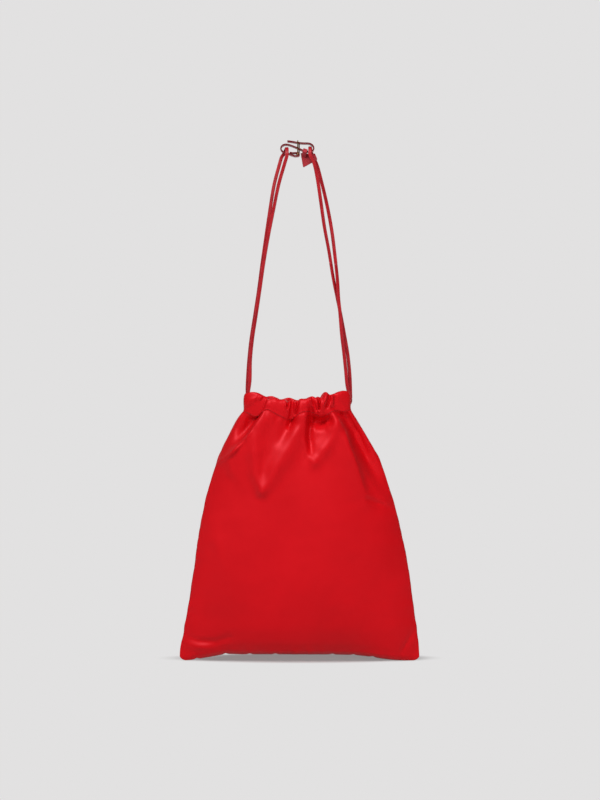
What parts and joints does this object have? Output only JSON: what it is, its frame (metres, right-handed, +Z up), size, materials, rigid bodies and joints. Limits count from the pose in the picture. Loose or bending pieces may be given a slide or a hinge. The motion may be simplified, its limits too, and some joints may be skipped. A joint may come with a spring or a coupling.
{
  "type": "drawstring shoulder bag",
  "caption": "Soft nylon drawstring pouch with a gathered channel mouth, leather drawcords and a small buckled leather belt joining the cord loops.",
  "frame": {"origin": "where a hook, a hand or the shoulder bears on the underside of the belt, below the buckle's heel bar, in the middle of the belt's width", "axes": "+Z up as the bag hangs, +X to the right and +Y away from someone who faces the front panel"},
  "size_m": [0.2994, 0.0724, 0.6466],
  "materials": {
    "nylon": "soft sheen woven nylon",
    "lace": "smooth flat lace",
    "strap": "smooth belt leather",
    "metal": "polished pale gold"
  },
  "bodies": {
    "bag": {"front_panel": "nylon", "back_panel": "nylon", "drawcord_left": "lace", "drawcord_right": "lace", "belt_strap": "strap", "leather_tag": "strap"},
    "buckle_frame": {"buckle_frame": "metal"},
    "buckle_tongue": {"buckle_tongue": "metal"}
  },
  "joints": [
    {"name": "buckle_frame_rock", "type": "hinge", "parent": "bag", "child": "buckle_frame", "pos_m": [0, 0, 0.00265], "axis": [0, 1, 0], "range_deg": [-3, 3]},
    {"name": "buckle_tongue_swing", "type": "hinge", "parent": "buckle_frame", "child": "buckle_tongue", "pos_m": [0, 0, 0.00265], "axis": [0, 1, 0], "range_deg": [0, 7]}
  ]
}
